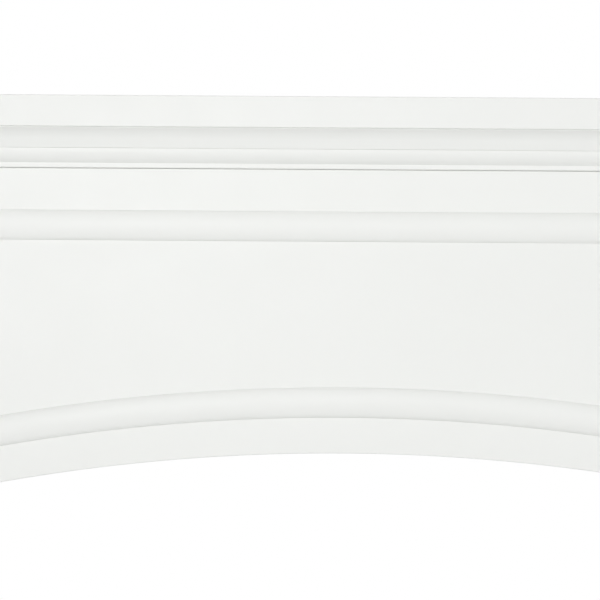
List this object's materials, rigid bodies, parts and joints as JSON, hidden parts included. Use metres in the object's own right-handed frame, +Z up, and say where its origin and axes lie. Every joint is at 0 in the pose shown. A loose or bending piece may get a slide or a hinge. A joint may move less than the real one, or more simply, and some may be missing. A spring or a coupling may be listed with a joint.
{
  "type": "fireplace mantelpiece",
  "caption": "White painted fireplace surround with a plain shelf on a moulded cornice, an arched frieze with a raised bead frame, and panelled hollow legs on plinths that stand round a hearth.",
  "frame": {"origin": "on the floor, under the middle of the shelf", "axes": "+X along the shelf towards the viewer's right, +Y back to the wall, +Z up; the front looks along -Y"},
  "size_m": [1.666, 0.153, 1.37],
  "materials": {
    "satin_paint": "white satin paint over smooth board"
  },
  "bodies": {
    "root": {"shelf": "satin_paint", "cornice_front": "satin_paint", "cornice_left_return": "satin_paint", "cornice_right_return": "satin_paint", "frieze_board": "satin_paint", "arch_soffit": "satin_paint", "frieze_bead_top": "satin_paint", "frieze_bead_left": "satin_paint", "frieze_bead_arch": "satin_paint", "frieze_bead_right": "satin_paint", "left_leg_face": "satin_paint", "left_leg_outer_side": "satin_paint", "left_leg_inner_side": "satin_paint", "left_leg_bead_top": "satin_paint", "left_leg_bead_left": "satin_paint", "left_leg_bead_bottom": "satin_paint", "left_leg_bead_right": "satin_paint", "left_leg_plinth_front": "satin_paint", "left_leg_plinth_outer_return": "satin_paint", "left_leg_plinth_inner_return": "satin_paint", "right_leg_face": "satin_paint", "right_leg_outer_side": "satin_paint", "right_leg_inner_side": "satin_paint", "right_leg_bead_top": "satin_paint", "right_leg_bead_left": "satin_paint", "right_leg_bead_bottom": "satin_paint", "right_leg_bead_right": "satin_paint", "right_leg_plinth_front": "satin_paint", "right_leg_plinth_outer_return": "satin_paint", "right_leg_plinth_inner_return": "satin_paint"}
  },
  "joints": []
}
